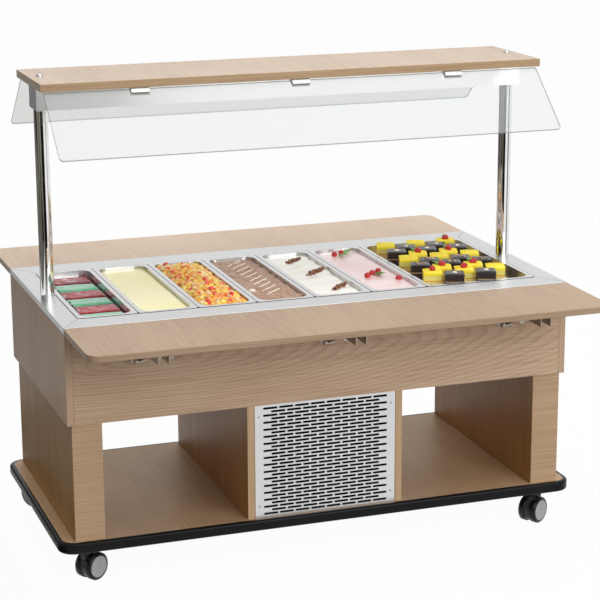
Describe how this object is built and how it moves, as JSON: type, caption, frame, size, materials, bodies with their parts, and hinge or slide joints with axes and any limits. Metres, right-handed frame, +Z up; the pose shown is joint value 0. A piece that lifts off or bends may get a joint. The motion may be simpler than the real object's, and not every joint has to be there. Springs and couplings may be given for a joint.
{
  "type": "mobile salad bar",
  "caption": "Mobile refrigerated salad bar: a wooden cabinet on casters with a cold well of filled pans, folding tray shelves, and a lit overshelf with sneeze glasses on posts.",
  "frame": {"origin": "on the floor under the middle of the deck", "axes": "+X along the counter to the guests' right, -Y towards the guests in front of it, +Z up"},
  "size_m": [1.47, 1.2316, 1.305],
  "materials": {
    "light_wood": "light straight-grained oak veneer, satin",
    "brushed_steel": "brushed stainless steel",
    "polished_steel": "polished stainless steel",
    "chrome": "bright plated",
    "bracket_steel": "dark zinc-plated steel",
    "black_steel": "black paint",
    "black_rubber": "matt",
    "foam": null,
    "diffuser": "opal",
    "clear_glass": "clear, polished edges",
    "aluminium": "rolled fins",
    "black_plastic": "fine grain",
    "red_plastic": "translucent red",
    "grey_plastic": "moulded",
    "tyre": "grey-black tread",
    "fruit_red": "moist fruit slices; stands in for food",
    "custard_yellow": "smooth custard; stands in for food",
    "fruit_yellow": "fruit pieces; stands in for food",
    "mousse_brown": "smooth mousse; stands in for food",
    "cream_white": "whipped cream; stands in for food",
    "mousse_pink": "smooth mousse; stands in for food",
    "cake_yellow": "sponge cake; stands in for food"
  },
  "bodies": {
    "cabinet": {"deck_board": "light_wood", "deck_bumper": "black_rubber", "left_leg": "light_wood", "right_leg": "light_wood", "left_partition": "light_wood", "right_partition": "light_wood", "front_grille": "brushed_steel", "rear_grille": "brushed_steel", "left_end_panel": "light_wood", "right_end_panel": "light_wood", "front_apron": "light_wood", "rear_apron": "light_wood", "body_floor": "light_wood", "insulated_case": "foam", "worktop": "brushed_steel", "well_tub": "brushed_steel", "divider_bars": "brushed_steel", "overshelf_posts": "chrome", "light_box": "polished_steel", "led_diffuser": "diffuser", "overshelf": "light_wood", "post_caps": "chrome", "front_glass": "clear_glass", "rear_glass": "clear_glass", "glass_clamps": "chrome", "shelf_wall_brackets": "bracket_steel", "caster_plates": "chrome", "compressor": "black_steel", "condenser": "aluminium", "control_fittings": "black_plastic"},
    "front_tray_shelf": {"front_shelf": "light_wood", "front_shelf_arms": "bracket_steel"},
    "rear_tray_shelf": {"rear_shelf": "light_wood", "rear_shelf_arms": "bracket_steel"},
    "front_strut_set": {"front_struts": "bracket_steel"},
    "rear_strut_set": {"rear_struts": "bracket_steel"},
    "fan": {"fan_rotor": "black_plastic"},
    "switch_rocker": {"main_switch": "red_plastic"},
    "front_left_caster": {"front_left_caster_housing": "grey_plastic"},
    "front_left_wheels": {"front_left_caster_wheels": "tyre"},
    "front_right_caster": {"front_right_caster_housing": "grey_plastic"},
    "front_right_wheels": {"front_right_caster_wheels": "tyre"},
    "rear_left_caster": {"rear_left_caster_housing": "grey_plastic"},
    "rear_left_wheels": {"rear_left_caster_wheels": "tyre"},
    "rear_right_caster": {"rear_right_caster_housing": "grey_plastic"},
    "rear_right_wheels": {"rear_right_caster_wheels": "tyre"},
    "pan_1_set": {"pan_1": "brushed_steel", "slices": "fruit_red"},
    "pan_2_set": {"pan_2": "brushed_steel", "custard": "custard_yellow"},
    "pan_3_set": {"pan_3": "brushed_steel", "fruit_salad": "fruit_yellow"},
    "pan_4_set": {"pan_4": "brushed_steel", "chocolate_mousse": "mousse_brown"},
    "pan_5_set": {"pan_5": "brushed_steel", "cream": "cream_white"},
    "pan_6_set": {"pan_6": "brushed_steel", "berry_mousse": "mousse_pink"},
    "cake_pan_set": {"cake_pan": "brushed_steel", "cakes": "cake_yellow"}
  },
  "joints": [
    {"name": "front_shelf_fold", "type": "hinge", "parent": "cabinet", "child": "front_tray_shelf", "pos_m": [0, -0.365, 0.673], "axis": [1, 0, 0], "range_deg": [0, 90]},
    {"name": "rear_shelf_fold", "type": "hinge", "parent": "cabinet", "child": "rear_tray_shelf", "pos_m": [0, 0.365, 0.673], "axis": [-1, 0, 0], "range_deg": [0, 90]},
    {"name": "front_strut_fold", "type": "hinge", "parent": "cabinet", "child": "front_strut_set", "pos_m": [0, -0.365, 0.608], "axis": [1, 0, 0], "range_deg": [0, 113.43]},
    {"name": "rear_strut_fold", "type": "hinge", "parent": "cabinet", "child": "rear_strut_set", "pos_m": [0, 0.365, 0.608], "axis": [-1, 0, 0], "range_deg": [0, 113.43]},
    {"name": "fan_spin", "type": "hinge", "parent": "cabinet", "child": "fan", "pos_m": [0, -0.203, 0.273], "axis": [0, 1, 0], "continuous": true},
    {"name": "switch_press", "type": "hinge", "parent": "cabinet", "child": "switch_rocker", "pos_m": [0.06, 0.341, 0.403], "axis": [-1, 0, 0], "range_deg": [0, 13.2]},
    {"name": "front_left_swivel", "type": "hinge", "parent": "cabinet", "child": "front_left_caster", "pos_m": [-0.655, -0.296, 0.09], "axis": [0, 0, 1], "continuous": true},
    {"name": "front_left_roll", "type": "hinge", "parent": "front_left_caster", "child": "front_left_wheels", "pos_m": [-0.63982, -0.28633, 0.0375], "axis": [0.5373, -0.8434, 0], "continuous": true},
    {"name": "front_right_swivel", "type": "hinge", "parent": "cabinet", "child": "front_right_caster", "pos_m": [0.655, -0.296, 0.09], "axis": [0, 0, 1], "continuous": true},
    {"name": "front_right_roll", "type": "hinge", "parent": "front_right_caster", "child": "front_right_wheels", "pos_m": [0.63982, -0.30567, 0.0375], "axis": [-0.5373, 0.8434, 0], "continuous": true},
    {"name": "rear_left_swivel", "type": "hinge", "parent": "cabinet", "child": "rear_left_caster", "pos_m": [-0.655, 0.296, 0.09], "axis": [0, 0, 1], "continuous": true},
    {"name": "rear_left_roll", "type": "hinge", "parent": "rear_left_caster", "child": "rear_left_wheels", "pos_m": [-0.66345, 0.31189, 0.0375], "axis": [0.8829, 0.4695, 0], "continuous": true},
    {"name": "rear_right_swivel", "type": "hinge", "parent": "cabinet", "child": "rear_right_caster", "pos_m": [0.655, 0.296, 0.09], "axis": [0, 0, 1], "continuous": true},
    {"name": "rear_right_roll", "type": "hinge", "parent": "rear_right_caster", "child": "rear_right_wheels", "pos_m": [0.66345, 0.28011, 0.0375], "axis": [-0.8829, -0.4695, 0], "continuous": true},
    {"name": "pan_1_lift", "type": "slide", "parent": "cabinet", "child": "pan_1_set", "axis": [0, 0, 1], "range_m": [0, 0.16]},
    {"name": "pan_2_lift", "type": "slide", "parent": "cabinet", "child": "pan_2_set", "axis": [0, 0, 1], "range_m": [0, 0.16]},
    {"name": "pan_3_lift", "type": "slide", "parent": "cabinet", "child": "pan_3_set", "axis": [0, 0, 1], "range_m": [0, 0.16]},
    {"name": "pan_4_lift", "type": "slide", "parent": "cabinet", "child": "pan_4_set", "axis": [0, 0, 1], "range_m": [0, 0.16]},
    {"name": "pan_5_lift", "type": "slide", "parent": "cabinet", "child": "pan_5_set", "axis": [0, 0, 1], "range_m": [0, 0.16]},
    {"name": "pan_6_lift", "type": "slide", "parent": "cabinet", "child": "pan_6_set", "axis": [0, 0, 1], "range_m": [0, 0.16]},
    {"name": "cake_pan_lift", "type": "slide", "parent": "cabinet", "child": "cake_pan_set", "axis": [0, 0, 1], "range_m": [0, 0.16]}
  ],
  "couplings": [
    {"joint": "front_strut_fold", "follows": "front_shelf_fold", "ratio": 1.2603},
    {"joint": "rear_strut_fold", "follows": "rear_shelf_fold", "ratio": 1.2603}
  ]
}
